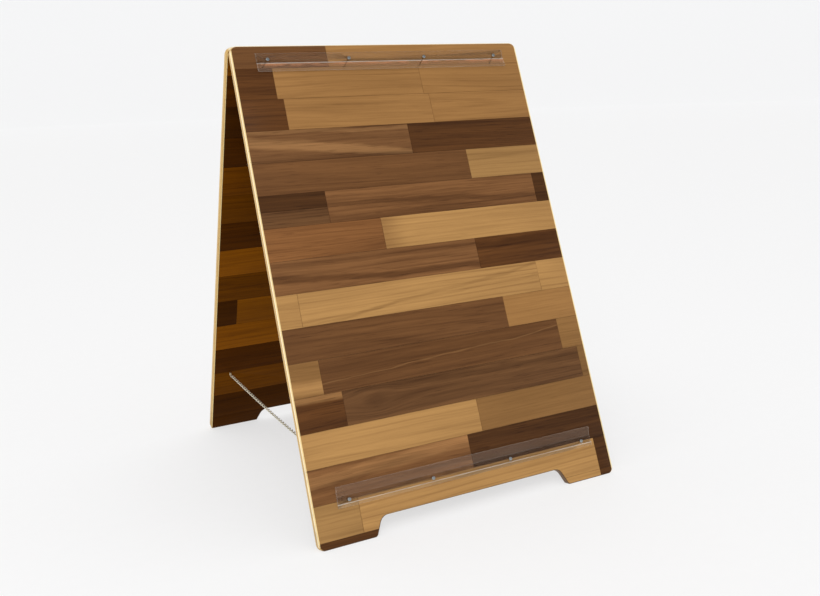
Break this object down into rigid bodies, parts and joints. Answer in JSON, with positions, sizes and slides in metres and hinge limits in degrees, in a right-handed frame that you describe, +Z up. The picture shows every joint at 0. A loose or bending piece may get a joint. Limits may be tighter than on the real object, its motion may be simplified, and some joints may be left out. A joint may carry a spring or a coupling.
{
  "type": "sandwich board",
  "caption": "Folding A-frame sandwich board: stave-faced wooden boards hinged at the top, with clear poster rails, limit chains and cut-out feet.",
  "frame": {"origin": "middle of the footprint on the floor, halfway between the two boards and halfway across them", "axes": "+Z up, X along the hinge axis with +X to the right as the front board is looked at, front board towards -Y"},
  "size_m": [0.61, 0.6702, 0.8291],
  "materials": {
    "plywood": "clear varnished plywood edge",
    "umber_wood": "varnished, semi-gloss",
    "tan_wood": "varnished, semi-gloss",
    "walnut_wood": "varnished, semi-gloss",
    "russet_wood": "varnished, semi-gloss",
    "honey_wood": "varnished, semi-gloss",
    "clear_acrylic": "clear, slightly hazy plastic",
    "zinc_steel": "bright zinc plated",
    "brass_plate": "brass plated steel, satin"
  },
  "bodies": {
    "front_board": {"front_core": "plywood", "front_outer_umber_staves": "umber_wood", "front_outer_tan_staves": "tan_wood", "front_outer_walnut_staves": "walnut_wood", "front_outer_russet_staves": "russet_wood", "front_outer_honey_staves": "honey_wood", "front_inner_russet_staves": "russet_wood", "front_inner_walnut_staves": "walnut_wood", "front_inner_honey_staves": "honey_wood", "front_top_poster_rail": "clear_acrylic", "front_top_rail_screws": "zinc_steel", "front_bottom_poster_rail": "clear_acrylic", "front_bottom_rail_screws": "zinc_steel", "front_hinge_screws": "brass_plate", "front_chain_eyes": "zinc_steel", "left_hinge_front_leaf": "brass_plate", "right_hinge_front_leaf": "brass_plate", "left_hinge_pin": "brass_plate", "right_hinge_pin": "brass_plate"},
    "back_board": {"back_core": "plywood", "back_outer_umber_staves": "umber_wood", "back_outer_tan_staves": "tan_wood", "back_outer_walnut_staves": "walnut_wood", "back_outer_russet_staves": "russet_wood", "back_outer_honey_staves": "honey_wood", "back_inner_russet_staves": "russet_wood", "back_inner_walnut_staves": "walnut_wood", "back_inner_honey_staves": "honey_wood", "back_top_poster_rail": "clear_acrylic", "back_top_rail_screws": "zinc_steel", "back_bottom_poster_rail": "clear_acrylic", "back_bottom_rail_screws": "zinc_steel", "back_hinge_screws": "brass_plate", "back_chain_eyes": "zinc_steel", "left_hinge_back_leaf": "brass_plate", "right_hinge_back_leaf": "brass_plate"},
    "left_front_chain": {"left_chain_front_run": "zinc_steel"},
    "left_back_chain": {"left_chain_back_run": "zinc_steel"},
    "right_front_chain": {"right_chain_front_run": "zinc_steel"},
    "right_back_chain": {"right_chain_back_run": "zinc_steel"}
  },
  "joints": [
    {"name": "fold", "type": "hinge", "parent": "front_board", "child": "back_board", "pos_m": [0, 0, 0.82599], "axis": [-1, 0, 0], "range_deg": [0, 40], "deforming": ["left_chain_front_run", "left_chain_back_run", "right_chain_front_run", "right_chain_back_run"]},
    {"name": "left_chain_front_swing", "type": "hinge", "parent": "front_board", "child": "left_front_chain", "pos_m": [-0.268, -0.26181, 0.13758], "axis": [-1, 0, 0], "range_deg": [0, 108]},
    {"name": "left_chain_back_swing", "type": "hinge", "parent": "back_board", "child": "left_back_chain", "pos_m": [-0.268, 0.26181, 0.13758], "axis": [1, 0, 0], "range_deg": [0, 108]},
    {"name": "right_chain_front_swing", "type": "hinge", "parent": "front_board", "child": "right_front_chain", "pos_m": [0.268, -0.26181, 0.13758], "axis": [-1, 0, 0], "range_deg": [0, 108]},
    {"name": "right_chain_back_swing", "type": "hinge", "parent": "back_board", "child": "right_back_chain", "pos_m": [0.268, 0.26181, 0.13758], "axis": [1, 0, 0], "range_deg": [0, 108]}
  ],
  "couplings": [
    {"joint": "left_chain_front_swing", "follows": "fold", "ratio": 2.6922},
    {"joint": "left_chain_back_swing", "follows": "fold", "ratio": 2.6922},
    {"joint": "right_chain_front_swing", "follows": "fold", "ratio": 2.6922},
    {"joint": "right_chain_back_swing", "follows": "fold", "ratio": 2.6922}
  ]
}
